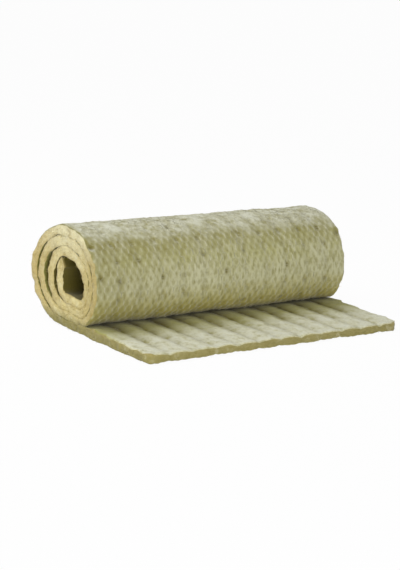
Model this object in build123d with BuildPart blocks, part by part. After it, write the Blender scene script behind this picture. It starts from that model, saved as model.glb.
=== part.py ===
from build123d import *
import os

# A wired stone-wool mat, rolled up and partly unrolled. One long strip of stitched wool lies flat on
# the floor as a tail, passes under the roll, rises at the back and winds inwards round an open bore.
# Frame: X along the roll's axis, -Y towards the free tail, +Z up. The origin is on the floor, at the
# middle of the whole outline. All sizes are in millimetres.

# Driving dimensions of the mat
mat_width = 1000.0
mat_thickness = 30.0  # where nothing presses on it
corner_radius = 28.0  # the two free corners of the tail, rounded by handling
tail_reach = 277.0  # from the front of the roll to the free end of the tail

# The stitch rows run along the strip, and the wool stands up in pillows between them
panel_count = 12  # panels of wool across the width, with a stitch row between each two
furrow_depth = 7.0
furrow_half_width = 22.0

# The soft wool is squeezed where the roll is pulled tight or carries weight
front_thickness = 22.0  # of each layer in front of the bore
bottom_thickness = 24.5  # of each layer under the bore
press_in_length = 70.0  # over which the roll presses the tail down to that

# The open bore that the mat is wound round
bore_depth = 123.0  # front to back
bore_height = 122.0

# How the turns lie round the bore, outermost first
turn_gap = 1.5  # wire netting and air between turns that rest on each other
back_gaps = (14.0, 24.0, 18.0)  # where the turns stand open behind the bore

# The centres of the quarter ellipses that round the turns, from the front and the bottom of the bore
crest_depth = 106.5  # under the highest line of every turn
rise_depth = 96.5  # where every turn starts to rise at the back
back_height = 50.0  # level of the rearmost line of every turn
front_height = 38.0  # level of the foremost line of every turn
tuck_radius = 20.0  # the innermost fold under the front of the bore
tuck_growth = 2.0  # how much nearer the front each fold outside it ends
inner_end_angle = 60.0  # how far the innermost layer bends over before the mat ends

# Places that follow from those sizes
panel_width = mat_width / panel_count
layers_below = len(back_gaps) + 1
layers_in_front = len(back_gaps)
top_step = mat_thickness + turn_gap
front_step = front_thickness + turn_gap
bottom_step = bottom_thickness + turn_gap
front_build_up = layers_in_front * front_step - turn_gap
back_build_up = layers_below * mat_thickness + sum(back_gaps)
overall_depth = tail_reach + front_build_up + bore_depth + back_build_up
tail_end = -overall_depth / 2
roll_front = tail_end + tail_reach
roll_back = overall_depth / 2
bore_front = roll_front + front_build_up
bore_bottom = layers_below * bottom_step - turn_gap
roll_top = bore_bottom + bore_height + layers_in_front * top_step - turn_gap
crest = bore_front + crest_depth
rise = bore_front + rise_depth
back_level = bore_bottom + back_height
front_level = bore_bottom + front_height


def quarter(centre, reach, height, start_angle, arc_size=90.0):
    """A quarter of an ellipse, or the stated part of one, that goes anticlockwise from start_angle."""
    return EllipticalCenterArc(centre, reach, height, start_angle, arc_size=arc_size)


def tuck(turn):
    """Where a turn has folded in under the front of the roll and lies flat again."""
    return bore_front + tuck_radius - (layers_in_front - 1 - turn) * tuck_growth


def face_of_mat(depth):
    """One face of the mat, from the tail to the inner end: depth is 0 for the outer face, 1 for the inner.

    Each turn is four quarter ellipses about shared centres, so the turns nest without touching, and a
    flat stretch at the bottom, where it lies on the layer below. Returns the inner end's point."""
    here = (tail_end, depth * mat_thickness)
    if depth > 0:
        press_in = Line(here, (tuck(0) - press_in_length, depth * mat_thickness))
        settled = Line(press_in @ 1, (tuck(0), depth * bottom_thickness))
        here = settled @ 1
    for turn in range(layers_below):
        bottom = turn * bottom_step + depth * bottom_thickness
        top = roll_top - turn * top_step - depth * mat_thickness
        front = roll_front + turn * front_step + depth * front_thickness
        back = roll_back - turn * mat_thickness - sum(back_gaps[:turn]) - depth * mat_thickness
        Line(here, (rise, bottom))
        quarter((rise, back_level), back - rise, back_level - bottom, -90)
        if turn + 1 == layers_below:
            return quarter((crest, back_level), back - crest, top - back_level, 0, inner_end_angle) @ 1
        quarter((crest, back_level), back - crest, top - back_level, 0)
        quarter((crest, front_level), crest - front, top - front_level, 90)
        next_bottom = bottom + bottom_step
        quarter((tuck(turn), front_level), tuck(turn) - front, front_level - next_bottom, 180)
        here = (tuck(turn), next_bottom)


# A furrow: two convex arcs, level with the wool's upper face at both sides, meet in a stitch row
with BuildSketch() as furrow:
    with BuildLine():
        TangentArc((-furrow_half_width, 0), (0, -furrow_depth), tangent=(1, 0))
        TangentArc((furrow_half_width, 0), (0, -furrow_depth), tangent=(-1, 0))
        Line((-furrow_half_width, 0), (furrow_half_width, 0))
    make_face()

# The mat: one strip, its spiral section run across the whole width
with BuildPart() as wool_mat:
    with BuildSketch(Plane.YZ) as section:
        with BuildLine():
            outer_end = face_of_mat(0)
            inner_end = face_of_mat(1)
            Line(outer_end, inner_end)
            Line((tail_end, 0), (tail_end, mat_thickness))
        make_face()
    extrude(amount=mat_width / 2, both=True)
    free_corners = wool_mat.edges().filter_by(Axis.Z).group_by(Axis.Y)[0]
    fillet(free_corners, corner_radius)

    # Each stitch row pinches the tail's upper face into a furrow between two pillowed panels. The
    # furrows run in under the front of the roll, until its weight presses the wool flat.
    with BuildSketch(Plane.XZ.offset(-tail_end)):
        with Locations((0, mat_thickness)):
            with GridLocations(panel_width, 1, panel_count - 1, 1):
                add(furrow.sketch)
    extrude(amount=-(tuck(0) - press_in_length / 2 - tail_end), mode=Mode.SUBTRACT)

wool_mat.part.label = "wool_mat"
os.makedirs("parts", exist_ok=True)
export_step(wool_mat.part, "parts/wool_mat.step")
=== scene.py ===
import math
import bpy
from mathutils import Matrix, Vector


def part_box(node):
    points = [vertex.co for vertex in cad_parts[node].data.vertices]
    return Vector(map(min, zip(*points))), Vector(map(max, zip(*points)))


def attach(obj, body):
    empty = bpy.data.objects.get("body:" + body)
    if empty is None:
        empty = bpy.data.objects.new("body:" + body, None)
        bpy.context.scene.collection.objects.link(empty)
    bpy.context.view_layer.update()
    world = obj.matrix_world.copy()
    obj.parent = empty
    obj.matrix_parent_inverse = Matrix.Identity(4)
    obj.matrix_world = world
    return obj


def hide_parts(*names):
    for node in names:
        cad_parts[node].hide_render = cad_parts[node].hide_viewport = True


bl_info = {
    "name": "Wired wool roll",
    "version": (1, 1, 0),
    "blender": (4, 5, 0),
    "location": "3D View > Sidebar > Wool roll",
    "description": "Dresses a packed roll of wired stone-wool mat and sets its stage",
    "category": "Object",
}

import bmesh
import bpy
import numpy as np
from bpy.props import FloatProperty, FloatVectorProperty, IntProperty, PointerProperty
from bpy.types import Operator, Panel, PropertyGroup
from mathutils import Matrix, Vector

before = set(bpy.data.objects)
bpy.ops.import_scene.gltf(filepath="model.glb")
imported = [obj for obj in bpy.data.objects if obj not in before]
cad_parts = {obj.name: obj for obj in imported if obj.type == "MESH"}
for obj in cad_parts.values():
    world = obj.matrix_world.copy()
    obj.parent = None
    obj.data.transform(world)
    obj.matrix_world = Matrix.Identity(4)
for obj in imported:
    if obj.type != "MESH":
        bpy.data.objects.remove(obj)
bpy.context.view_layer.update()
mat_low, mat_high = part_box("wool_mat")
MM = 0.001
WHITE = (1.0, 1.0, 1.0)


def amount(name, value, description, least=0.0, **kind):
    """A property for a number that has a least value."""
    return FloatProperty(name=name, description=description, default=value, min=least, **kind)


def length(name, metres, description):
    """A property for a length in metres."""
    return amount(name, metres, description, unit="LENGTH", precision=4)


def colour(name, rgb, description):
    """A property for a colour, written as display values from 0 to 255 and kept as linear light."""
    shares = [value / 255 for value in rgb]
    linear = [share / 12.92 if share < 0.04045 else ((share + 0.055) / 1.055) ** 2.4 for share in shares]
    limits = {"min": 0.0, "max": 1.0}
    return FloatVectorProperty(name=name, description=description, default=linear, subtype="COLOR", **limits)


def position(name, metres, description):
    """A property for a place in metres."""
    return FloatVectorProperty(name=name, description=description, default=metres, unit="LENGTH")


class WoolMatSettings(PropertyGroup):
    """Sizes and colours of the rolled mat."""

    thickness: length("Thickness", 0.03, "Of the mat where nothing presses on it")
    front_thickness: length("Thickness in front", 0.022, "Of each layer in front of the bore")
    bottom_thickness: length("Thickness below", 0.0245, "Of each layer under the bore")
    corner_radius: length("Corner radius", 0.028, "Radius of the tail's two free corners")
    tail_reach: length("Tail reach", 0.277, "From the front of the roll to the tail's free end")
    turn_gap: length("Turn gap", 0.0015, "Netting and air between turns that rest on each other")
    panel_count: IntProperty(name="Panels", description="Panels between stitch rows", default=12, min=2)
    furrow_depth: length("Furrow depth", 0.0078, "How deep the stitch rows pinch the bare side")
    netting_furrow: length("Netting side furrow", 0.0026, "How deep they pinch the netting side")
    pit_depth: length("Pit depth", 0.0035, "How deep each stitch hole draws the wool in")
    bulge: length("Bulge", 0.0016, "How far the wool stands up through each cell of the netting")
    fibre_radius: length("Fibre radius", 0.00022, "Radius of the loose strands on the cut edges")
    netting_side: colour("Netting side", (188, 185, 128), "Wool under the netting")
    netting_pale: colour("Netting side, pale", (210, 208, 172), "Its dry patches")
    netting_dark: colour("Netting side, dark", (132, 124, 58), "Its dark, resin-rich patches")
    # painted shade: wool that faces down gets this more olive, darker colour for the shade under the roll
    under_side_painted_shade: colour("Under side", (180, 166, 60), "Wool that faces down, where no dust lies")
    # dust and painted light: what faces up is made paler, for its dust and for the light from above
    dust_and_top_light: colour("Dust", (230, 231, 212), "Pale dust on everything that faces up")
    bare_side: colour("Bare side", (222, 219, 180), "Wool on the face without netting")
    bare_side_dark: colour("Bare side, dark", (160, 154, 92), "Its darker clumps")
    bare_side_olive: colour("Bare side, olive", (168, 165, 74), "Its part near the roll, where no dust lies")
    # painted shade: this dark olive stands for the shade in the bore, between the turns, in furrows, pits and
    # nicks, and near the roll
    between: colour("Between the turns", (104, 94, 20), "Wool in the bore, between turns and deep in furrows")
    cut_edge: colour("Cut edge", (240, 226, 164), "Wool where the mat was cut")
    cut_edge_dark: colour("Cut edge, dark", (178, 156, 84), "Its darker layers")
    cut_edge_warm: colour("Cut edge, warm", (196, 168, 96), "Its browner part at the back of the roll")
    # partly painted light: the cut edges are made paler high up, where light from above falls; the same
    # colour gives pale mottles
    cut_edge_pale_and_lit: colour("Cut edge, pale", (246, 242, 206), "Its frayed upper part")
    # painted shade: the cut edges and the loose strands are darker near the floor; the patches over it vary
    # at random
    cut_edge_low_painted_shade: colour("Cut edge, low", (158, 150, 92), "Its part near the floor")


class NettingSettings(PropertyGroup):
    """Sizes and colours of the wire netting and the stitching wire."""

    mesh_width: length("Mesh width", 0.025, "Between two twists side by side")
    twist_length: length("Twist length", 0.0115, "Length of each twisted pair of wires")
    slant_length: length("Slant length", 0.0095, "Length along the strip of each single wire")
    wire_radius: length("Wire radius", 0.0004, "Radius of one wire")
    twist_radius: length("Twist radius", 0.0013, "Half the width of a twisted pair")
    stitch_length: length("Stitch length", 0.055, "From one stitch hole to the next")
    stitch_radius: length("Stitch radius", 0.0006, "Radius of the stitching wire")
    wire: colour("Galvanised wire", (206, 203, 172), "Dull zinc coating")


class StageSettings(PropertyGroup):
    """The camera and the lamps."""

    camera_place: position("Camera", (-3.4876, -4.2734, 1.4497), "Where the camera stands")
    camera_target: position("Target", (0.0154, 0.1115, 0.0909), "What the camera looks at")
    camera_roll: amount("Roll", math.radians(4.48), "Turn about the lens's axis", -math.pi, subtype="ANGLE")
    lens: amount("Lens", 112.4, "Focal length in millimetres", 1.0)
    sky: amount("Sky", 0.45, "Strength of the soft light all round")
    key: amount("Key lamp", 50.0, "Power of the large lamp above", unit="POWER")
    key_place: position("Key lamp place", (-1.2, 1.2, 2.8), "Where the large lamp hangs")
    fill: amount("Fill lamp", 79.0, "Power of the low lamp in front", unit="POWER")
    fill_place: position("Fill lamp place", (-2.0, -3.6, 0.42), "Where the low lamp stands")


def smooth_noise(along, across, grain, seed):
    """Noise from -1 to 1: random heights on a square lattice of one grain, eased between by smoothsteps."""
    side = 256
    heights = np.random.default_rng(seed).uniform(-1.0, 1.0, (side, side))
    a, b = along / grain, across / grain
    row, column = np.floor(a).astype(int), np.floor(b).astype(int)
    ease_a, ease_b = a - row, b - column
    ease_a = ease_a * ease_a * (3 - 2 * ease_a)
    ease_b = ease_b * ease_b * (3 - 2 * ease_b)
    row, column = row % side, column % side
    next_row, next_column = (row + 1) % side, (column + 1) % side
    near = heights[row, column] * (1 - ease_b) + heights[row, next_column] * ease_b
    far = heights[next_row, column] * (1 - ease_b) + heights[next_row, next_column] * ease_b
    return near * (1 - ease_a) + far * ease_a


def ripples(along, across, *rows):
    """The sum of several smooth noises, each told by its height, its grain and its seed."""
    return sum(height * smooth_noise(along, across, grain, seed) for height, grain, seed in rows)


def ramp(value, stop, reach):
    """From 0 to 1 in a straight line while the value comes up to the stop, over the reach before it."""
    return np.clip((value - stop) / reach + 1, 0.0, 1.0)


class Spiral:
    """The mat's spiral section, as two curves (y, z) that run along its outer and its inner face.

    After the tail, each turn is a flat stretch at the bottom and four quarter ellipses about shared
    centres. Points at the same place of both curves lie across the mat from each other."""

    press_in_length = 70 * MM
    back_gaps = (14 * MM, 24 * MM, 18 * MM)
    crest_depth = 106.5 * MM
    rise_depth = 96.5 * MM
    back_height = 50 * MM
    front_height = 38 * MM
    tuck_radius = 20 * MM
    tuck_growth = 2 * MM
    inner_end_angle = math.radians(60)
    samples_each_span = 240
    spans_of_tail = 2
    spans_each_turn = 5

    def __init__(self, mat):
        self.mat = mat
        self.folds = len(self.back_gaps)
        self.top_step = mat.thickness + mat.turn_gap
        self.front_step = mat.front_thickness + mat.turn_gap
        self.bottom_step = mat.bottom_thickness + mat.turn_gap
        self.front = mat_low.y + mat.tail_reach
        self.bore_front = self.front + self.folds * self.front_step - mat.turn_gap
        self.bore_bottom = (self.folds + 1) * self.bottom_step - mat.turn_gap
        self.outer = self.face_points(0.0)
        self.inner = self.face_points(1.0)
        middle = (self.outer + self.inner) / 2
        steps = np.hypot(*np.diff(middle, axis=0).T)
        self.travel = np.concatenate([[0.0], np.cumsum(steps)])
        self.end = self.travel[-1]

    def tuck(self, turn):
        """Where a turn has folded in under the front of the roll and lies flat again."""
        return self.bore_front + self.tuck_radius - (self.folds - 1 - turn) * self.tuck_growth

    def face_points(self, depth):
        """One face, 0 for the outer and 1 for the inner: lines and quarter ellipses, each sampled evenly."""
        mat = self.mat
        share = np.linspace(0.0, 1.0, self.samples_each_span)[:, None]
        spans = []

        def line(start, stop):
            spans.append(np.array(start) * (1 - share) + np.array(stop) * share)
            return stop

        def arc(centre, reach, height, start, sweep=math.pi / 2):
            angle = start + sweep * share
            spans.append(np.hstack([centre[0] + reach * np.cos(angle), centre[1] + height * np.sin(angle)]))

        crest = self.bore_front + self.crest_depth
        rise = self.bore_front + self.rise_depth
        back_level = self.bore_bottom + self.back_height
        front_level = self.bore_bottom + self.front_height
        press_in = self.tuck(0) - self.press_in_length
        here = line((mat_low.y, depth * mat.thickness), (press_in, depth * mat.thickness))
        here = line(here, (self.tuck(0), depth * mat.bottom_thickness))
        for turn in range(self.folds + 1):
            bottom = turn * self.bottom_step + depth * mat.bottom_thickness
            top = mat_high.z - turn * self.top_step - depth * mat.thickness
            front = self.front + turn * self.front_step + depth * mat.front_thickness
            back = mat_high.y - (turn + depth) * mat.thickness - sum(self.back_gaps[:turn])
            line(here, (rise, bottom))
            arc((rise, back_level), back - rise, back_level - bottom, -math.pi / 2)
            if turn == self.folds:
                arc((crest, back_level), back - crest, top - back_level, 0.0, self.inner_end_angle)
                break
            arc((crest, back_level), back - crest, top - back_level, 0.0)
            arc((crest, front_level), crest - front, top - front_level, math.pi / 2)
            tuck, next_bottom = self.tuck(turn), bottom + self.bottom_step
            arc((tuck, front_level), tuck - front, front_level - next_bottom, math.pi)
            here = (tuck, next_bottom)
        return np.concatenate(spans)

    def travel_after(self, spans):
        """How far along the strip the end of the last of so many spans is."""
        return self.travel[self.samples_each_span * spans - 1]

    def travel_at_turn(self, turns):
        """How far along the strip the given number of whole turns is, counted at the tuck."""
        return self.travel_after(self.spans_of_tail + self.spans_each_turn * turns)

    def travel_at_front(self):
        """How far along the strip the foremost line of the roll is, one span before its first tuck."""
        return self.travel_after(self.spans_of_tail + self.spans_each_turn - 1)

    def at(self, travel):
        """Points on both faces and the unit normal out of the outer face, at distances along the strip."""
        outer, inner = (
            np.stack([np.interp(travel, self.travel, face[:, k]) for k in (0, 1)], axis=-1)
            for face in (self.outer, self.inner)
        )
        normal = (outer - inner) / np.linalg.norm(outer - inner, axis=-1, keepdims=True)
        return outer, inner, normal


class WoolShape:
    """The mat as a function of travel along the strip, share across it and share through it."""

    # ripples of the surfaces: how far each goes up and down, its grain and its seed
    netting_lumps = ((1.5 * MM, 110 * MM, 1), (0.8 * MM, 31 * MM, 2))
    bare_lumps = ((1.3 * MM, 70 * MM, 4), (0.8 * MM, 20 * MM, 5), (0.6 * MM, 9 * MM, 6))
    side_fray = ((2.8 * MM, 21 * MM, 8), (2.2 * MM, 8.5 * MM, 9))
    end_fray = (1.8 * MM, 26 * MM, 10)
    row_wander = (3.5 * MM, 90 * MM, 11)
    layer_sway = (1.8 * MM, 45 * MM, 12)
    layer_swell = (2.2 * MM, 28 * MM, 13)
    netting_pulls = ((3 * MM, 100 * MM, 15), (3 * MM, 100 * MM, 16))

    # ripples of a share, of the painted shade or of a cut edge's tone: by how much each changes it, its grain
    # and its seed
    cell_variety = (0.45, 24 * MM, 3)
    furrow_variety = (0.3, 60 * MM, 7)
    edge_patches = (0.5, 35 * MM, 14)
    furrow_blotches = (0.35, 30 * MM, 17)
    pit_variety = (1.0, 70 * MM, 19)

    # the cut edges and the layers near them
    edge_round = 8 * MM
    edge_drop = 4.4 * MM
    end_reach = 12 * MM
    belly_reach = 1.5 * MM
    fray_power = 60
    loose_width = 80 * MM
    loose_growth = 0.9 * MM
    loose_closing = 1.6 * MM
    end_distance = 0.5

    # the two faces
    furrow_power = 2.6
    tail_end_share = 0.65
    tail_end_length = 200 * MM
    pillow_rise = 1 * MM
    bare_pit_share = 0.6
    relief_pressed_away = 0.6
    press_length = 60 * MM
    pit_reach = 5.5 * MM
    cell_fullness = 0.8
    nick_depth = 7 * MM
    # each nick in the rim: how far before the roll's foremost line, its place from the middle, its radius
    nicks = ((140 * MM, -491 * MM, 10 * MM), (46 * MM, -484 * MM, 9 * MM), (118 * MM, 490 * MM, 8 * MM))

    # painted shade, from 0 for wool in the open to 1 for wool deep in the roll; skin_tone darkens the skins
    # of the cut edges
    turns_tone = 0.8
    tone_lost_at_ends = 0.45
    end_shade = 14 * MM
    furrow_tone = 0.12
    furrow_tone_near_roll = 0.75
    near_roll_tone = 0.12
    near_roll_power = 1.5
    bare_pit_tone = 0.2
    netting_furrow_tone = 0.1
    pit_tone = 0.1
    most_pit_tone = 0.7
    nick_tone = 0.85
    skin_tone = 0.45

    def __init__(self, settings):
        self.mat = settings.wool_mat
        self.net = settings.netting
        self.spiral = Spiral(self.mat)
        self.half_width = (mat_high.x - mat_low.x) / 2
        self.panel = 2 * self.half_width / self.mat.panel_count
        self.row_pitch = self.net.twist_length + self.net.slant_length

    def half_width_at(self, travel):
        """Half the width, drawn in by a quarter circle at each free corner of the tail."""
        radius = self.mat.corner_radius
        from_round = np.clip(radius - travel, 0.0, radius)
        return self.half_width - radius + np.sqrt(radius**2 - from_round**2)

    def wander(self, travel, x):
        """How far a stitch row strays to the side there."""
        return ripples(travel, x, self.row_wander)

    def from_stitch_row(self, travel, x):
        """Distance across from the nearest stitch row, in panels, and whether there is such a row."""
        phase = (x + self.half_width + self.wander(travel, x)) / self.panel
        nearest = np.round(phase)
        return phase - nearest, (nearest > 0) & (nearest < self.mat.panel_count)

    def furrow(self, travel, x):
        """From 0 on the crest of a panel to 1 in a stitch row: a power of the nearness to the row."""
        offset, stitched = self.from_stitch_row(travel, x)
        nearness = np.clip(1 - 2 * np.abs(offset), 0.0, 1.0)
        return np.where(stitched, nearness**self.furrow_power, 0.0)

    def pit(self, travel, x):
        """From 0 to 1 in each hole where the stitching wire goes through the mat: a bell curve."""
        offset, stitched = self.from_stitch_row(travel, x)
        stitch = travel / self.net.stitch_length
        along = (stitch - np.floor(stitch) - 0.5) * self.net.stitch_length
        away = (offset * self.panel) ** 2 + along**2
        return np.where(stitched, np.exp(-away / (2 * self.pit_reach**2)), 0.0)

    def nick(self, travel, x):
        """From 0 to 1 in each nick, where handling has picked wool out of the rim: a bell curve."""
        depth = 0.0
        for before_front, from_middle, radius in self.nicks:
            along = travel - self.spiral.travel_at_front() + before_front
            depth = depth + np.exp(-(along**2 + (x - from_middle) ** 2) / radius**2)
        return depth

    def stretch(self, travel, x):
        """How far the netting is pulled out of its regular pattern there, along the strip and across it."""
        return tuple(ripples(travel, x, pull) for pull in self.netting_pulls)

    def in_netting(self, travel, x):
        """Places on the mat, told in the regular pattern of the netting before it was pulled."""
        pulled_along, pulled_across = self.stretch(travel, x)
        return travel - pulled_along, x - pulled_across

    def cell_bulge(self, travel, x):
        """From 0 under the wires to 1 in the middle of each cell: a product of two cosines."""
        travel, x = self.in_netting(travel, x)
        across = np.cos(2 * np.pi * (x / self.net.mesh_width - 0.5))
        along = np.cos(np.pi * (travel - self.net.twist_length / 2) / self.row_pitch)
        return 0.5 + 0.5 * across * along

    def netting_height(self, travel, x):
        """How far the netting lies outside the smooth outer face: lumps, furrows, pits and nicks."""
        drawn_in = self.mat.netting_furrow * self.furrow(travel, x) + self.mat.pit_depth * self.pit(travel, x)
        return ripples(travel, x, *self.netting_lumps) - drawn_in - self.nick_depth * self.nick(travel, x)

    def outer_height(self, travel, x):
        """How far the wool of the netting side stands out: half a bulge below the netting to above it."""
        fullness = self.cell_fullness + ripples(travel, x, self.cell_variety)
        cells = self.cell_bulge(travel, x) * fullness - 0.5
        return self.netting_height(travel, x) + self.mat.bulge * cells

    def inner_height(self, travel, x):
        """How far the bare side stands out: lumpy pillows between the stitch rows.

        The furrows between them are shallower at the tail's end, and the roll presses it all flatter."""
        to_full = np.clip(travel / self.tail_end_length, 0.0, 1.0)
        depth = self.mat.furrow_depth * (1 + ripples(travel, x, self.furrow_variety))
        depth = depth * (self.tail_end_share + (1 - self.tail_end_share) * to_full)
        pits = self.bare_pit_share * self.mat.pit_depth * self.pit(travel, x)
        pillows = ripples(travel, x, *self.bare_lumps) + self.pillow_rise - depth * self.furrow(travel, x)
        pressed = ramp(travel, self.spiral.travel_at_turn(0), self.press_length)
        return (pillows - pits) * (1 - self.relief_pressed_away * pressed)

    def face_painted_shade(self, travel, x, bare):
        """Painted shade: from 0 in the open to 1 in the bore, with the gaps, the furrows, the pits and the
        nicks in between, and more of it on the tail near the roll.
        """
        hidden_from = np.where(bare, self.spiral.travel_at_turn(0), self.spiral.travel_at_turn(1))
        in_bore = bare & (travel > self.spiral.travel_at_turn(self.spiral.folds - 1))
        near_end = ramp(np.abs(x), self.half_width, self.end_shade)
        in_turns = self.turns_tone - self.tone_lost_at_ends * near_end
        hidden = ramp(travel, hidden_from, self.press_length) * np.where(in_bore, 1.0, in_turns)

        furrow, pit = self.furrow(travel, x), self.pit(travel, x)
        near_roll = np.clip(travel / self.mat.tail_reach, 0.0, 1.0) ** self.near_roll_power
        blotches = 1 + ripples(travel, x, self.furrow_blotches)
        deepest = self.furrow_tone + self.furrow_tone_near_roll * near_roll
        on_bare = deepest * blotches * np.sqrt(furrow) + self.near_roll_tone * near_roll**2
        on_bare = on_bare + self.bare_pit_tone * pit
        holes = np.clip(ripples(travel, x, self.pit_variety) + self.pit_tone, 0.0, self.most_pit_tone)
        on_netting = self.netting_furrow_tone * furrow + pit * holes + self.nick_tone * self.nick(travel, x)
        return np.clip(np.maximum(hidden, np.where(bare, on_bare, on_netting)), 0.0, 1.0)

    def edge_tone(self, along, through):
        """How dark a cut edge is: more so at its two skins, and in patches."""
        skin = np.abs(2 * through - 1) ** 3
        patches = 0.5 + ripples(along, through * self.mat.thickness, self.edge_patches)
        return np.clip(self.skin_tone * skin + (1 - self.skin_tone) * patches, 0.0, 1.0)

    def place(self, travel, across, through):
        """Positions in space, as an array of the common shape of the three inputs and 3."""
        travel, across, through = np.broadcast_arrays(travel, across, through)
        x = across * self.half_width_at(travel)
        outer, inner, normal = self.spiral.at(travel)
        section = outer * (1 - through[..., None]) + inner * through[..., None]
        from_edge = np.minimum(np.minimum(self.half_width - np.abs(x), travel), self.spiral.end - travel)
        fall = np.clip(1 - from_edge / self.edge_round, 0.0, 1.0)
        rounding = self.edge_drop * (1 - np.sqrt(1 - fall**2))

        # a face that rests on the next turn keeps its edge
        on_netting = rounding * (travel < self.spiral.travel_at_turn(1))
        on_bare = rounding * (travel < self.mat.tail_reach)
        height = (1 - through) * (self.outer_height(travel, x) - on_netting)
        height = height - through * (self.inner_height(travel, x) - on_bare)

        # towards the cut ends each layer sways and swells, so gaps between the turns come and go; the
        # noise of one end is taken far from that of the other
        side = np.sign(across) * self.end_distance
        loose = ramp(np.abs(x), self.half_width, self.loose_width) ** 2
        swell = ripples(travel, side, self.layer_swell) + self.loose_growth
        closing = self.loose_closing * (travel > self.mat.tail_reach)
        moved = ripples(travel, side, self.layer_sway) + swell * (1 - 2 * through) - closing * through
        section = section + normal * (height + loose * moved)[..., None]

        # a cut edge is frayed, and its middle stands out as a parabola between its two skins
        belly = self.belly_reach * 4 * through * (1 - through)
        depth = through * self.mat.thickness
        fray = ripples(travel, depth + side, *self.side_fray) + belly
        x = x + np.sign(across) * np.abs(across) ** self.fray_power * fray
        fray = ripples(x, depth, self.end_fray) + belly
        at_tail = np.clip(1 - travel / self.end_reach, 0.0, 1.0)
        at_inner = ramp(travel, self.spiral.end, self.end_reach)
        tangent = np.stack([-normal[..., 1], normal[..., 0]], axis=-1)
        section = section + tangent * (fray * (at_tail - at_inner))[..., None]
        return np.stack([x, section[..., 0], np.maximum(section[..., 1], 0.0)], axis=-1)

    def over_face(self, travel, x, lift, bare):
        """Points lifted off the netting or the bare wool, and the normals out of that face there."""
        outer, inner, normal = self.spiral.at(travel)
        if bare:
            base, normal, height = inner, -normal, self.inner_height(travel, x)
        else:
            base, height = outer, self.netting_height(travel, x)
        section = base + normal * (height + lift)[..., None]
        level = np.maximum(section[..., 1], self.net.wire_radius)
        points = np.stack([x, section[..., 0], level], axis=-1)
        return points, np.stack([np.zeros_like(x), normal[..., 0], normal[..., 1]], axis=-1)


def grid_faces(rows, columns, offset):
    """Quads of a grid of rows by columns of vertices that starts at offset."""
    corner = offset + np.arange(rows - 1)[:, None] * columns + np.arange(columns - 1)[None, :]
    return np.stack([corner, corner + 1, corner + columns + 1, corner + columns], axis=-1).reshape(-1, 4)


def linked(name, data):
    """A new object that holds this data, in the scene."""
    made = bpy.data.objects.new(name, data)
    bpy.context.scene.collection.objects.link(made)
    return made


def mesh_object(name, vertices, faces, smooth=True):
    """A linked object with this mesh, with nothing at its own place."""
    mesh = bpy.data.meshes.new(name)
    mesh.vertices.add(len(vertices))
    mesh.vertices.foreach_set("co", vertices.astype(np.float32).ravel())
    mesh.loops.add(faces.size)
    mesh.loops.foreach_set("vertex_index", faces.astype(np.int32).ravel())
    mesh.polygons.add(len(faces))
    mesh.polygons.foreach_set("loop_start", np.arange(len(faces), dtype=np.int32) * faces.shape[1])
    mesh.update(calc_edges=True)
    mesh.polygons.foreach_set("use_smooth", np.full(len(faces), smooth))
    return linked(name, mesh)


def close_shell(piece, merge=2e-6):
    """Merge the patches of a shell along their shared borders and turn all its faces outwards."""
    shell = bmesh.new()
    shell.from_mesh(piece.data)
    bmesh.ops.remove_doubles(shell, verts=shell.verts, dist=merge)
    bmesh.ops.recalc_face_normals(shell, faces=shell.faces)
    shell.to_mesh(piece.data)
    shell.free()


def finish_piece(piece, material):
    """Give a piece its material and let it ride on the one body."""
    piece.data.materials.append(material)
    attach(piece, "root")


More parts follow.
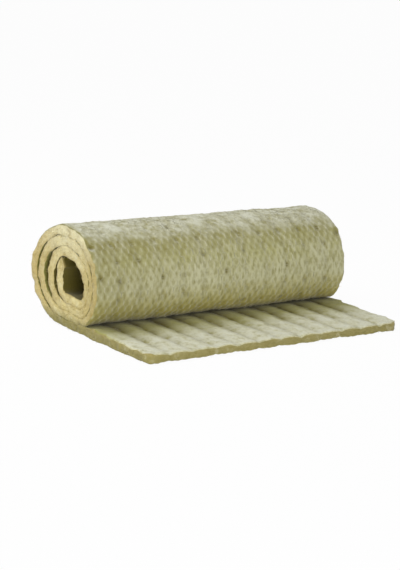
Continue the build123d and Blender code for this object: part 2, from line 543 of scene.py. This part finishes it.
class NodeTree:
    """Short calls to make the nodes of a material or a world."""

    def __init__(self, owner, output="ShaderNodeOutputMaterial"):
        owner.use_nodes = True
        self.owner = owner
        self.tree = owner.node_tree
        self.tree.nodes.clear()
        self.output = self.add(output)

    def put(self, socket, value):
        """Link another socket to this one, or set its own value. A colour has three numbers."""
        if isinstance(value, bpy.types.NodeSocket):
            self.tree.links.new(value, socket)
        elif socket.type == "RGBA":
            socket.default_value = (*value, 1.0)
        else:
            socket.default_value = value

    def add(self, kind, *first, **named):
        """A node, with values for its first sockets in turn, and for sockets or settings by name."""
        node = self.tree.nodes.new(kind)
        for socket, value in zip(node.inputs, first):
            self.put(socket, value)
        for key, value in named.items():
            if key in node.inputs:
                self.put(node.inputs[key], value)
            else:
                setattr(node, key, value)
        return node

    def math(self, operation, first, second=0.5):
        """One Math node on two values or sockets."""
        return self.add("ShaderNodeMath", first, second, operation=operation).outputs[0]

    def times(self, first, second):
        """The product of two values or sockets."""
        return self.math("MULTIPLY", first, second)

    def mix(self, factor, first, second):
        """A colour between two colours, which are inputs 6 and 7 of a Mix node, and its output 2."""
        node = self.add("ShaderNodeMix", factor, data_type="RGBA")
        self.put(node.inputs[6], first)
        self.put(node.inputs[7], second)
        return node.outputs[2]

    def span(self, value, low, high):
        """A value stretched from low..high to 0..1 and clamped."""
        return self.add("ShaderNodeMapRange", value, low, high).outputs[0]

    def coats(self, base, *rows):
        """The base colour under coats of others.

        Each coat has a colour, a value, the value where it starts, the value where it is full, and how
        much of it there is then."""
        for over, value, start, full, most in rows:
            base = self.mix(self.times(self.span(value, start, full), most), base, over)
        return base

    def parts(self, vector):
        """The three numbers of a vector."""
        return self.add("ShaderNodeSeparateXYZ", vector).outputs

    def noise(self, vector, scale, detail=3.0, roughness=0.6, stretch=None):
        """Noise on a vector, which may be stretched first."""
        if stretch:
            vector = self.add("ShaderNodeMapping", vector, Scale=stretch).outputs[0]
        made = self.add("ShaderNodeTexNoise", vector, Scale=scale, Detail=detail, Roughness=roughness)
        return made.outputs[0]

    def cosine(self, value, wavelength, shift=0.0):
        """The cosine of a place along a wave."""
        angle = self.times(self.math("SUBTRACT", value, shift), 2 * math.pi / wavelength)
        return self.math("COSINE", angle)

    def shade(self, sockets):
        """The material, with a Principled shader that has these values on its sockets."""
        shader = self.add("ShaderNodeBsdfPrincipled", **sockets)
        self.put(self.output.inputs[0], shader.outputs[0])
        return self.owner

    def mix_shaders(self, factor, first, second):
        """Put a mix of two shaders on the output."""
        node = self.add("ShaderNodeMixShader", factor, first.outputs[0], second.outputs[0])
        self.put(self.output.inputs[0], node.outputs[0])


def wool_material(settings, scuffed_at):
    """Mineral wool: netting side, bare side and cut edges told apart by the zone attribute."""
    mat, net = settings.wool_mat, settings.netting
    make = NodeTree(bpy.data.materials.new("mineral wool"))
    where = make.add("ShaderNodeTexCoord").outputs["Object"]
    strip = make.add("ShaderNodeUVMap", uv_map="strip").outputs[0]
    zone = make.add("ShaderNodeAttribute", attribute_name="zone").outputs[0]
    bare_side, cut, tone = make.add("ShaderNodeSeparateColor", zone).outputs
    sideways, backwards, level = make.parts(where)
    normal = make.add("ShaderNodeNewGeometry").outputs["Normal"]
    upward = make.parts(normal)[2]

    patches = make.noise(where, 8.0, 4.0, 0.65)
    mottles = make.noise(where, 30.0, 5.0, 0.7)
    clumps = make.noise(strip, 100.0, 4.0, 0.7, stretch=(1.0, 0.42, 1.0))
    fibres = make.noise(strip, 260.0, 5.0, 0.75, stretch=(1.0, 0.35, 1.0))
    layers = make.noise(strip, 420.0, 3.0, 0.7, stretch=(1.0, 0.09, 1.0))

    # the netting presses the wool in along its wires, and the valleys hold the shade
    strip_across, strip_along, _ = make.parts(strip)
    across = make.cosine(strip_across, net.mesh_width)
    row_pitch = net.twist_length + net.slant_length
    along = make.cosine(strip_along, 2 * row_pitch, net.twist_length / 2)
    under_wire = make.times(across, along)

    # the roll's foremost part is scuffed pale, as far up and down as the cosine stays high
    scuff_wavelength = 0.44
    scuffed = make.cosine(strip_along, scuff_wavelength, scuffed_at)
    netting = make.coats(
        mat.netting_side,
        (mat.netting_pale, patches, 0.45, 0.66, 0.8),
        (mat.netting_pale, scuffed, 0.4, 1.0, 0.75),
        (mat.netting_dark, scuffed, 0.4, -0.5, 0.5),
        # painted shade on what faces down
        (mat.under_side_painted_shade, upward, 0.0, -0.6, 0.85),
        (mat.netting_dark, sideways, -0.15, -0.5, 0.4),
        (mat.netting_pale, mottles, 0.48, 0.3, 0.5),
        (mat.netting_dark, mottles, 0.52, 0.72, 0.5),
        (mat.netting_dark, clumps, 0.5, 0.7, 0.8),
        (mat.netting_dark, under_wire, 0.1, 0.9, 0.35),
        (mat.netting_pale, under_wire, -0.2, -0.9, 0.35),
    )
    bare = make.coats(
        mat.bare_side,
        (mat.bare_side_dark, mottles, 0.5, 0.68, 0.75),
        (mat.bare_side_dark, clumps, 0.48, 0.72, 0.7),
        (mat.bare_side_olive, strip_along, 0.12, 0.24, 0.9),
    )
    face = make.mix(bare_side, netting, bare)

    # dust and painted light from above on what faces up, but little of either on the bare side near the roll
    top_light_and_dust = make.times(make.span(upward, 0.74, 0.97), make.span(mottles, 0.7, 0.42))
    sheltered = make.times(make.times(make.span(strip_along, 0.12, 0.25), bare_side), 0.85)
    top_light_and_dust = make.times(top_light_and_dust, make.math("SUBTRACT", 1.0, sheltered))
    # over that, the tone paints shade in the dark olive: in the bore, between the turns, in furrows, pits and
    # nicks, and on the tail near the roll
    face = make.coats(face, (mat.dust_and_top_light, top_light_and_dust, 0.0, 1.0, 0.8), (mat.between, tone, 0.0, 1.0, 1.0))

    edge = make.coats(
        mat.cut_edge,
        (mat.cut_edge_dark, layers, 0.45, 0.7, 0.6),
        (mat.cut_edge_dark, tone, 0.3, 1.0, 0.8),
        # painted light on the upper part of the cut edges
        (mat.cut_edge_pale_and_lit, level, 0.2, 0.3, 0.6),
        (mat.cut_edge_dark, mottles, 0.52, 0.7, 0.55),
        (mat.cut_edge_pale_and_lit, mottles, 0.46, 0.3, 0.5),
        (mat.cut_edge_dark, backwards, 0.05, -0.02, 0.55),
        (mat.cut_edge_warm, backwards, 0.16, 0.3, 0.45),
    )
    # painted shade: the cut edges near the floor, with random darker and paler patches
    low_edge_painted_shade = make.coats(
        mat.cut_edge_low_painted_shade,
        (mat.netting_dark, clumps, 0.48, 0.64, 0.6),
        (mat.netting_dark, mottles, 0.5, 0.62, 0.5),
        (mat.cut_edge_pale_and_lit, mottles, 0.42, 0.3, 0.3),
    )
    edge = make.coats(edge, (low_edge_painted_shade, level, 0.05, 0.02, 0.85))
    base = make.coats(make.mix(cut, face, edge), (mat.netting_dark, fibres, 0.5, 0.75, 0.35))

    relief = make.math("ADD", make.times(fibres, 0.6), make.times(clumps, 0.8))
    relief = make.math("ADD", relief, make.times(layers, 0.5))
    bump = make.add("ShaderNodeBump", Strength=0.6, Distance=3 * MM, Height=relief)
    matt = {"Roughness": 0.95, "Sheen Weight": 0.2, "Sheen Roughness": 0.6, "Specular IOR Level": 0.15}
    return make.shade({"Base Color": base, "Normal": bump.outputs[0], **matt})


def wire_material(settings):
    """Dull galvanised wire, with darker stretches."""
    make = NodeTree(bpy.data.materials.new("galvanised wire"))
    where = make.add("ShaderNodeTexCoord").outputs["Object"]
    wire = settings.netting.wire
    darker = [value * 0.5 for value in wire]
    base = make.coats(wire, (darker, make.noise(where, 45.0), 0.42, 0.65, 1.0))
    return make.shade({"Base Color": base, "Metallic": 0.2, "Roughness": 0.5})


def fibre_material(settings):
    """Loose strands of the wool, pale and matt, and darker near the floor as painted shade."""
    make = NodeTree(bpy.data.materials.new("loose wool"))
    where = make.add("ShaderNodeTexCoord").outputs["Object"]
    mat = settings.wool_mat
    base = make.coats(
        mat.cut_edge,
        (mat.cut_edge_dark, make.noise(where, 60.0), 0.35, 0.6, 1.0),
        (mat.cut_edge_low_painted_shade, make.parts(where)[2], 0.08, 0.03, 1.0),
    )
    return make.shade({"Base Color": base, "Roughness": 0.9, "Specular IOR Level": 0.15})


def wool_piece(name, shape, stations, across, through):
    """A closed length of the mat: six patches over travel, across and through, merged at their borders.

    The strip map holds places across and along the strip in metres. The zone attribute holds whether
    it is the bare side, whether it is a cut edge, and the tone: painted shade on the faces and at the inner
    end, and how dark a cut edge is."""
    inner_end_rim = 8 * MM
    patches = (
        (stations[:, None], across[None, :], 0.0, "face"),
        (stations[:, None], across[None, :], 1.0, "face"),
        (stations[:, None], -1.0, through[None, :], "edge"),
        (stations[:, None], 1.0, through[None, :], "edge"),
        (stations[0], across[:, None], through[None, :], "cap"),
        (stations[-1], across[:, None], through[None, :], "cap"),
    )
    vertices, faces, strips, zones, count = [], [], [], [], 0
    for travel, share, depth, kind in patches:
        travel, share, depth = np.broadcast_arrays(travel, share, depth)
        rows, columns = travel.shape
        x = share * shape.half_width
        vertices.append(shape.place(travel, share, depth).reshape(-1, 3))
        faces.append(grid_faces(rows, columns, count))
        thick = depth * shape.mat.thickness
        strip = {"face": shape.in_netting(travel, x)[::-1], "edge": (thick, travel), "cap": (thick, x)}[kind]
        strips.append(np.stack(strip, axis=-1).reshape(-1, 2))
        none, full = np.zeros_like(x), np.ones_like(x)
        if kind == "face":
            bare, cut, tone = depth, none, shape.face_painted_shade(travel, x, depth > 0.5)
        else:
            bare, cut, tone = none, full, shape.edge_tone(strip[1], depth)
        # the inner end is painted in full shade like the bore; only its rim at each side takes a cut edge's
        # colour, darkened
        if kind == "cap" and travel.flat[0] == shape.spiral.end:
            cut, tone = ramp(np.abs(x), shape.half_width, inner_end_rim), full
        zones.append(np.stack([bare, cut, tone, full], axis=-1).reshape(-1, 4))
        count += rows * columns
    faces = np.concatenate(faces)
    piece = mesh_object(name, np.concatenate(vertices), faces)
    corners = faces.ravel()
    strip_map = piece.data.uv_layers.new(name="strip")
    strip_map.data.foreach_set("uv", np.concatenate(strips)[corners].astype(np.float32).ravel())
    zone_map = piece.data.color_attributes.new("zone", "FLOAT_COLOR", "CORNER")
    zone_map.data.foreach_set("color", np.concatenate(zones)[corners].astype(np.float32).ravel())
    close_shell(piece)
    return piece


def rods(points, ups, radius, thinness=1.0, twist=0.0):
    """Closed four-sided rods through points (rod, ring, 3), as one array of vertices and one of quads.

    The section can be thinner one way than the other, and turn by a twist from each ring to the next."""
    along = np.diff(points, axis=1)
    along = np.concatenate([along, along[:, -1:]], axis=1)
    along = along / np.linalg.norm(along, axis=-1, keepdims=True)
    side = np.cross(along, ups)
    side = side / np.linalg.norm(side, axis=-1, keepdims=True)
    up = np.cross(side, along)
    count, rings = points.shape[:2]
    turn = twist * np.arange(rings)[:, None]
    long_way = np.array([1.0, 0.0, -1.0, 0.0])
    short_way = thinness * np.array([0.0, 1.0, 0.0, -1.0])
    upwards = radius * (long_way * np.cos(turn) - short_way * np.sin(turn))[None, :, :, None]
    sideways = radius * (long_way * np.sin(turn) + short_way * np.cos(turn))[None, :, :, None]
    vertices = points[:, :, None] + upwards * up[:, :, None] + sideways * side[:, :, None]
    wall = np.array([[0, 1, 5, 4], [1, 2, 6, 5], [2, 3, 7, 6], [3, 0, 4, 7]])
    walls = (wall[None] + 4 * np.arange(rings - 1)[:, None, None]).reshape(-1, 4)
    caps = np.array([[3, 2, 1, 0], np.arange(4) + 4 * (rings - 1)])
    quads = np.concatenate([walls, caps])[None] + 4 * rings * np.arange(count)[:, None, None]
    return vertices.reshape(-1, 3), quads.reshape(-1, 4)


def rod_object(name, parts):
    """One object of several results of rods()."""
    offsets = np.cumsum([0] + [len(vertices) for vertices, _ in parts[:-1]])
    quads = [quads + offset for (_, quads), offset in zip(parts, offsets)]
    vertices = np.concatenate([vertices for vertices, _ in parts])
    return mesh_object(name, vertices, np.concatenate(quads), smooth=False)


class WOOLROLL_OT_wool(Operator):
    """Make the wool of the mat: its tail, its outermost turn and the turns inside it"""

    bl_idname = "wool_roll.wool"
    bl_label = "Wool mat"

    rim = np.array([0.0, 1.0, 2.7, 5.3, 8.4]) * MM
    points_through = 8
    tail_under_roll = 30 * MM

    # how far apart the points of each piece are, along the strip and across it
    tail_pitches = (3.4 * MM, 3.2 * MM)
    outer_pitches = (5.4 * MM, 4.8 * MM)
    inner_pitches = (7 * MM, 9 * MM)

    def execute(self, context):
        settings = context.scene.wool_roll
        shape = WoolShape(settings)
        material = wool_material(settings, shape.spiral.travel_at_front())
        half, end = shape.half_width, shape.spiral.end
        under_roll = shape.spiral.travel_at_turn(0) + self.tail_under_roll
        split = shape.spiral.travel_at_turn(1)
        through = np.linspace(0.0, 1.0, self.points_through)
        for name, start, stop, pitches in (
            ("wool_tail", 0.0, under_roll, self.tail_pitches),
            ("wool_outer_turn", under_roll, split, self.outer_pitches),
            ("wool_inner_turns", split, end, self.inner_pitches),
        ):
            stations = self.spread(start, stop, pitches[0], start == 0.0, stop == end)
            across = self.spread(-half, half, pitches[1], True, True) / half
            piece = wool_piece(name, shape, stations, across, through)
            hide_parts("wool_mat")
            finish_piece(piece, material)
        return {"FINISHED"}

    def spread(self, start, stop, pitch, first_rim, last_rim):
        """Places one pitch apart from start to stop, and closer together at each end that is a rim."""
        first = self.rim if first_rim else self.rim[:1]
        last = self.rim if last_rim else self.rim[:1]
        even = np.linspace(start + first[-1], stop - last[-1], int((stop - start) / pitch))
        return np.concatenate([start + first[:-1], even, stop - last[:-1][::-1]])


class WOOLROLL_OT_netting(Operator):
    """Make the hexagonal wire netting on the mat's outer face"""

    bl_idname = "wool_roll.netting"
    bl_label = "Wire netting"

    lift = 0.1 * MM
    lift_ripple = (1.3 * MM, 35 * MM, 18)
    margin = 6 * MM
    outer_rings = 6
    inner_rings = 2
    twist_thinness = 0.5

    def execute(self, context):
        settings = context.scene.wool_roll
        shape = WoolShape(settings)
        material = wire_material(settings)
        split, end = shape.spiral.travel_at_turn(1), shape.spiral.end
        self.lay(shape, material, "netting_outer_turn", self.margin, split, self.outer_rings)
        self.lay(shape, material, "netting_inner_turns", split, end - self.margin, self.inner_rings)
        return {"FINISHED"}

    def lay(self, shape, material, name, start, stop, rings):
        """Staggered rows of twisted pairs, each joined by single wires to the two behind it."""
        net = shape.net
        first_row = math.ceil(start / shape.row_pitch)
        last_row = math.floor((stop - net.twist_length) / shape.row_pitch)
        columns = int(2 * shape.half_width / net.mesh_width)
        row, column = np.meshgrid(np.arange(first_row, last_row + 1), np.arange(columns + 1), indexing="ij")
        row, column = row.ravel(), column.ravel()
        x = (column - columns / 2 + 0.5 * (row % 2)) * net.mesh_width
        travel = row * shape.row_pitch
        inside = np.abs(x) < shape.half_width_at(travel) - self.margin
        x, travel, row = x[inside], travel[inside], row[inside]
        ring_travel = travel[:, None] + net.twist_length * np.linspace(0.0, 1.0, rings)
        pairs = self.on_wool(shape, ring_travel, x[:, None] + 0 * ring_travel)
        twist = math.pi / 2 if rings > 2 else 0.0
        parts = [rods(*pairs, net.twist_radius, self.twist_thinness, twist)]
        for way in (-0.5, 0.5):
            end_x = x + way * net.mesh_width
            joined = (np.abs(end_x) < shape.half_width - self.margin) & (row < last_row)
            slant_x = np.stack([x, end_x], axis=-1)[joined]
            slant_travel = np.stack([travel + net.twist_length, travel + shape.row_pitch], axis=-1)[joined]
            parts.append(rods(*self.on_wool(shape, slant_travel, slant_x), net.wire_radius))
        finish_piece(rod_object(name, parts), material)

    def on_wool(self, shape, travel, x):
        """Points of the regular pattern, pulled with the netting, that lie unevenly on the wool."""
        pulled_along, pulled_across = shape.stretch(travel, x)
        lift = self.lift + ripples(travel, x, self.lift_ripple)
        return shape.over_face(travel + pulled_along, x + pulled_across, lift, False)


class WOOLROLL_OT_stitching(Operator):
    """Make the rows of stitching wire that hold the netting to the wool"""

    bl_idname = "wool_roll.stitching"
    bl_label = "Stitching"

    points_each_stitch = 4
    lift_in_furrow = 0.5 * MM
    lift_in_hole = -4 * MM
    hook_points = 7 * MM * np.array([-1.0, -0.6, 0.6, 1.0])
    hook_lift = np.array([-2.5, 1.6, 1.6, -2.5]) * MM

    def execute(self, context):
        settings = context.scene.wool_roll
        shape = WoolShape(settings)
        net = shape.net
        lines = shape.panel * np.arange(1, shape.mat.panel_count) - shape.half_width
        stitches = int(shape.spiral.end / net.stitch_length)

        # on the bare side one wire runs from hole to hole along each furrow
        share = np.arange(2, self.points_each_stitch * stitches - 1) / self.points_each_stitch
        travel, x = np.meshgrid(share * net.stitch_length, lines)
        x = x - shape.wander(travel, x)
        at_hole = np.abs(share % 1 - 0.5) < 0.01
        lift = np.where(at_hole, self.lift_in_hole, self.lift_in_furrow) + 0 * travel
        rows = rods(*shape.over_face(travel, x, lift, True), net.stitch_radius)

        # on the netting side it only comes up out of each hole to hook a wire of the netting
        travel, x = np.meshgrid((np.arange(stitches) + 0.5) * net.stitch_length, lines)
        x = x - shape.wander(travel, x)
        x = x.ravel()[:, None] + self.hook_points
        travel = travel.ravel()[:, None] + 0 * x
        hooks = rods(*shape.over_face(travel, x, self.hook_lift + 0 * x, False), net.stitch_radius)
        finish_piece(rod_object("stitching", [rows, hooks]), wire_material(settings))
        return {"FINISHED"}


class WOOLROLL_OT_fibres(Operator):
    """Make the loose fibres that stand out of the cut edges"""

    bl_idname = "wool_roll.fibres"
    bl_label = "Loose fibres"

    count = 6500
    share_on_front = 0.12
    longest = 6 * MM
    shortest_share = 0.25
    outward = 0.7
    astray = 0.6
    curl = 0.5
    droop = 0.35
    rings = np.array([-0.15, 0.5, 1.0])
    least_level = 0.4 * MM

    def execute(self, context):
        settings = context.scene.wool_roll
        shape = WoolShape(settings)
        random = np.random.default_rng(21)
        on_front = random.random(self.count) < self.share_on_front
        side = random.choice([-1.0, 1.0], self.count)
        travel = np.where(on_front, 0.0, random.uniform(0.0, shape.spiral.end, self.count))
        across = np.where(on_front, random.uniform(-1.0, 1.0, self.count), side)
        root = shape.place(travel, across, random.random(self.count))
        outwards = np.where(on_front[:, None], [[0.0, -1.0, 0.0]], side[:, None] * [[1.0, 0.0, 0.0]])
        heading = outwards * self.outward + random.normal(0.0, self.astray, (self.count, 3))
        bend = random.normal(0.0, self.curl, (self.count, 3)) - [0.0, 0.0, self.droop]
        reach = self.longest * random.uniform(self.shortest_share, 1.0, self.count)[:, None, None] ** 2

        # each strand is a parabola: its heading times the share along it, and its bend times that squared
        share = self.rings[None, :, None]
        points = root[:, None] + reach * (heading[:, None] * share + bend[:, None] * share**2)
        points[..., 2] = np.maximum(points[..., 2], self.least_level)
        askew = [0.3, 0.5, 0.8]
        across_way = np.cross(heading, askew)[:, None]
        fibres = rod_object("loose_fibres", [rods(points, across_way, settings.wool_mat.fibre_radius)])
        finish_piece(fibres, fibre_material(settings))
        return {"FINISHED"}


class WOOLROLL_OT_stage(Operator):
    """Set the floor, the lamps, the soft light and the camera"""

    bl_idname = "wool_roll.stage"
    bl_label = "Stage"

    floor_size = 60.0
    floor_drop = 0.2 * MM
    floor_colour = (0.9, 0.9, 0.9)
    white_share = 0.96
    key_size = 2.5
    fill_size = 2.0
    lamp_target = Vector((0, 0, 0.1))
    farthest_seen = 100.0

    def execute(self, context):
        stage = context.scene.wool_roll.stage
        self.make_floor()
        self.make_world(context.scene, stage)
        self.make_lamp("key lamp", stage.key, self.key_size, stage.key_place)
        self.make_lamp("fill lamp", stage.fill, self.fill_size, stage.fill_place)
        self.make_camera(context.scene, stage)
        context.scene.view_settings.view_transform = "Standard"
        return {"FINISHED"}

    def make_floor(self):
        """A pale plane under the roll; what the camera sees of it is mostly plain white."""
        square = np.array([[-1, -1, 0], [1, -1, 0], [1, 1, 0], [-1, 1, 0]]) * self.floor_size / 2
        floor = mesh_object("floor", square - np.array([0, 0, self.floor_drop]), np.array([[0, 1, 2, 3]]))
        make = NodeTree(bpy.data.materials.new("pale floor"))
        light = make.add("ShaderNodeLightPath")
        pale = make.add("ShaderNodeBsdfDiffuse", Color=self.floor_colour)
        white = make.add("ShaderNodeEmission", Color=WHITE, Strength=1.0)
        seen = make.math("MAXIMUM", light.outputs["Is Camera Ray"], light.outputs["Is Glossy Ray"])
        seen = make.math("MAXIMUM", seen, light.outputs["Is Transmission Ray"])
        make.mix_shaders(make.times(seen, self.white_share), pale, white)
        floor.data.materials.append(make.owner)

    def make_world(self, scene, stage):
        """A soft white sky, plain white where the camera looks straight at it."""
        scene.world = bpy.data.worlds.new("soft sky")
        make = NodeTree(scene.world, "ShaderNodeOutputWorld")
        soft = make.add("ShaderNodeBackground", Color=WHITE, Strength=stage.sky)
        plain = make.add("ShaderNodeBackground", Color=WHITE, Strength=1.0)
        light = make.add("ShaderNodeLightPath")
        make.mix_shaders(light.outputs["Is Camera Ray"], soft, plain)

    def make_lamp(self, name, power, size, where):
        """A large square lamp that looks at the middle of the roll."""
        data = bpy.data.lights.new(name, "AREA")
        data.energy = power
        data.size = size
        lamp = linked(name, data)
        lamp.location = where
        lamp.rotation_euler = (self.lamp_target - Vector(where)).to_track_quat("-Z", "Y").to_euler()

    def make_camera(self, scene, stage):
        """The photograph's viewpoint: a long lens from the front left, tipped a little about its axis."""
        data = bpy.data.cameras.new("camera")
        data.lens = stage.lens
        data.clip_end = self.farthest_seen
        camera = linked("camera", data)
        where, target = Vector(stage.camera_place), Vector(stage.camera_target)
        look = (target - where).to_track_quat("-Z", "Y").to_matrix().to_4x4()
        turned = look @ Matrix.Rotation(stage.camera_roll, 4, "Z")
        camera.matrix_world = Matrix.Translation(where) @ turned
        scene.camera = camera


class WoolRollSettings(PropertyGroup):
    """All settings of the roll and its stage."""

    wool_mat: PointerProperty(type=WoolMatSettings)
    netting: PointerProperty(type=NettingSettings)
    stage: PointerProperty(type=StageSettings)


class WOOLROLL_PT_sidebar(Panel):
    """Buttons for the pieces of the roll."""

    bl_idname = "WOOLROLL_PT_sidebar"
    bl_label = "Wool roll"
    bl_space_type = "VIEW_3D"
    bl_region_type = "UI"
    bl_category = "Wool roll"

    def draw(self, context):
        for operator in OPERATORS:
            self.layout.operator(operator.bl_idname)
        for group in ("wool_mat", "netting", "stage"):
            box = self.layout.box()
            settings = getattr(context.scene.wool_roll, group)
            for name in settings.__annotations__:
                box.prop(settings, name)


PIECES = (WOOLROLL_OT_wool, WOOLROLL_OT_netting, WOOLROLL_OT_stitching, WOOLROLL_OT_fibres)
OPERATORS = (*PIECES, WOOLROLL_OT_stage)
SETTINGS = (WoolMatSettings, NettingSettings, StageSettings, WoolRollSettings)
CLASSES = (*SETTINGS, *OPERATORS, WOOLROLL_PT_sidebar)


def register():
    for cls in CLASSES:
        bpy.utils.register_class(cls)
    bpy.types.Scene.wool_roll = PointerProperty(type=WoolRollSettings)


def unregister():
    del bpy.types.Scene.wool_roll
    for cls in reversed(CLASSES):
        bpy.utils.unregister_class(cls)


def main():
    register()
    bpy.ops.wool_roll.wool()
    bpy.ops.wool_roll.netting()
    bpy.ops.wool_roll.stitching()
    bpy.ops.wool_roll.fibres()
    bpy.ops.wool_roll.stage()


if __name__ == "__main__":
    main()
